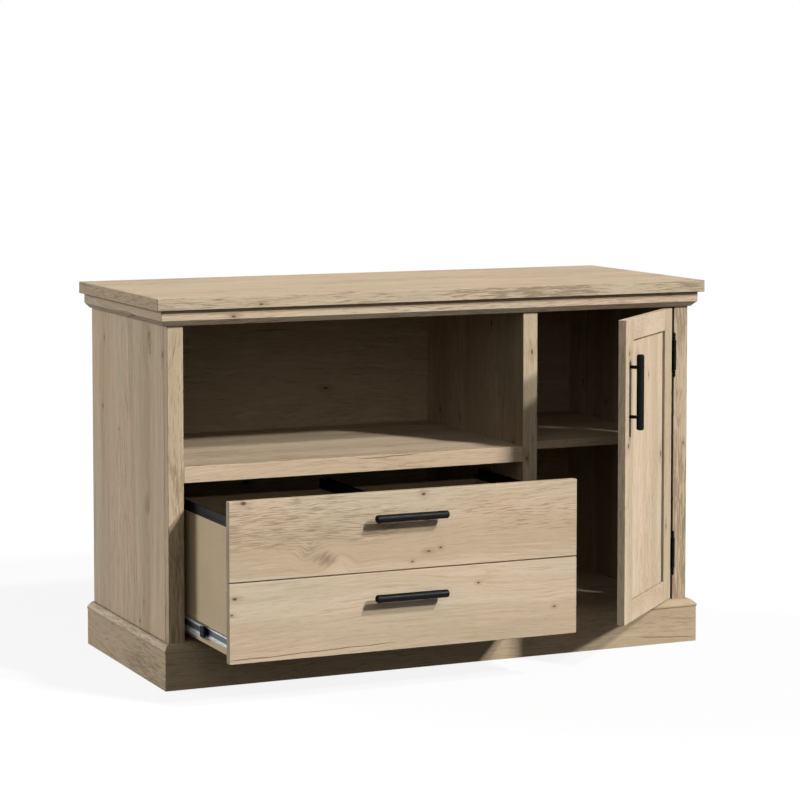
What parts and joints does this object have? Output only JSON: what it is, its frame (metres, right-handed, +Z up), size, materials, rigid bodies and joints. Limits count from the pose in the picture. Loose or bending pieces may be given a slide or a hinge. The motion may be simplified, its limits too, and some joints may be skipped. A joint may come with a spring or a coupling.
{
  "type": "filing credenza",
  "caption": "Light oak filing credenza with an open cubby over a lateral file drawer, and a panelled door in front of an adjustable shelf.",
  "frame": {"origin": "on the floor, under the middle of the top panel, on the foot face of the centre support", "axes": "+X to the right as one faces the front, -Y out of the front, +Z up; stored as pictured, with the drawer 239 mm open and the door 43.5 degrees open"},
  "size_m": [1.194, 0.738, 0.755],
  "materials": {
    "light_oak": "printed light oak, satin",
    "drawer_liner": "plain light board, matt",
    "black_metal": "satin black",
    "black_plastic": "matt black",
    "zinc_plate": "zinc plated",
    "steel": "plain steel"
  },
  "bodies": {
    "case": {"top_panel": "light_oak", "cornice_front": "light_oak", "cornice_left": "light_oak", "cornice_right": "light_oak", "plinth_front": "light_oak", "plinth_left": "light_oak", "plinth_right": "light_oak", "stile_left": "light_oak", "stile_right": "light_oak", "end_panel_left": "light_oak", "end_panel_right": "light_oak", "divider_stile": "light_oak", "divider_panel": "light_oak", "bottom_panel": "light_oak", "top_rail_front": "light_oak", "cubby_shelf": "light_oak", "adjustable_shelf": "light_oak", "back_panel": "light_oak", "base_rail_back": "light_oak", "center_support": "light_oak", "hinge_upper_case_leaf": "black_metal", "hinge_lower_case_leaf": "black_metal", "slide_outer_left": "zinc_plate", "slide_outer_right": "zinc_plate", "shelf_pin_front_left": "steel", "shelf_pin_front_right": "steel", "shelf_pin_rear_left": "steel", "shelf_pin_rear_right": "steel"},
    "drawer": {"drawer_front": "light_oak", "drawer_side_left": "drawer_liner", "drawer_side_right": "drawer_liner", "drawer_sub_front": "drawer_liner", "drawer_back": "drawer_liner", "drawer_bottom": "drawer_liner", "file_rail_left": "black_plastic", "file_rail_right": "black_plastic", "file_rail_center": "black_plastic", "drawer_pull_upper": "black_metal", "drawer_pull_lower": "black_metal", "pull_screw_upper_1": "steel", "pull_screw_upper_2": "steel", "pull_screw_lower_1": "steel", "pull_screw_lower_2": "steel", "slide_inner_left": "zinc_plate", "slide_inner_right": "zinc_plate"},
    "slide_left": {"slide_middle_left": "zinc_plate", "slide_catch_left": "black_plastic"},
    "slide_right": {"slide_middle_right": "zinc_plate", "slide_catch_right": "black_plastic"},
    "door": {"door_stile_free": "light_oak", "door_stile_hinge": "light_oak", "door_rail_top": "light_oak", "door_rail_bottom": "light_oak", "door_panel": "light_oak", "door_pull": "black_metal", "door_pull_screw_1": "steel", "door_pull_screw_2": "steel", "hinge_upper_door_leaf": "black_metal", "hinge_lower_door_leaf": "black_metal"}
  },
  "joints": [
    {"name": "drawer_slide", "type": "slide", "parent": "case", "child": "drawer", "axis": [0, -1, 0], "range_m": [-0.239, 0.161]},
    {"name": "slide_left_travel", "type": "slide", "parent": "case", "child": "slide_left", "axis": [0, -1, 0], "range_m": [-0.1195, 0.0805]},
    {"name": "slide_right_travel", "type": "slide", "parent": "case", "child": "slide_right", "axis": [0, -1, 0], "range_m": [-0.1195, 0.0805]},
    {"name": "door_hinge", "type": "hinge", "parent": "case", "child": "door", "pos_m": [0.5364, -0.2278, 0.394], "axis": [0, 0, 1], "range_deg": [-43.5, 66.5]}
  ],
  "couplings": [
    {"joint": "slide_left_travel", "follows": "drawer_slide", "ratio": 0.5},
    {"joint": "slide_right_travel", "follows": "drawer_slide", "ratio": 0.5}
  ]
}
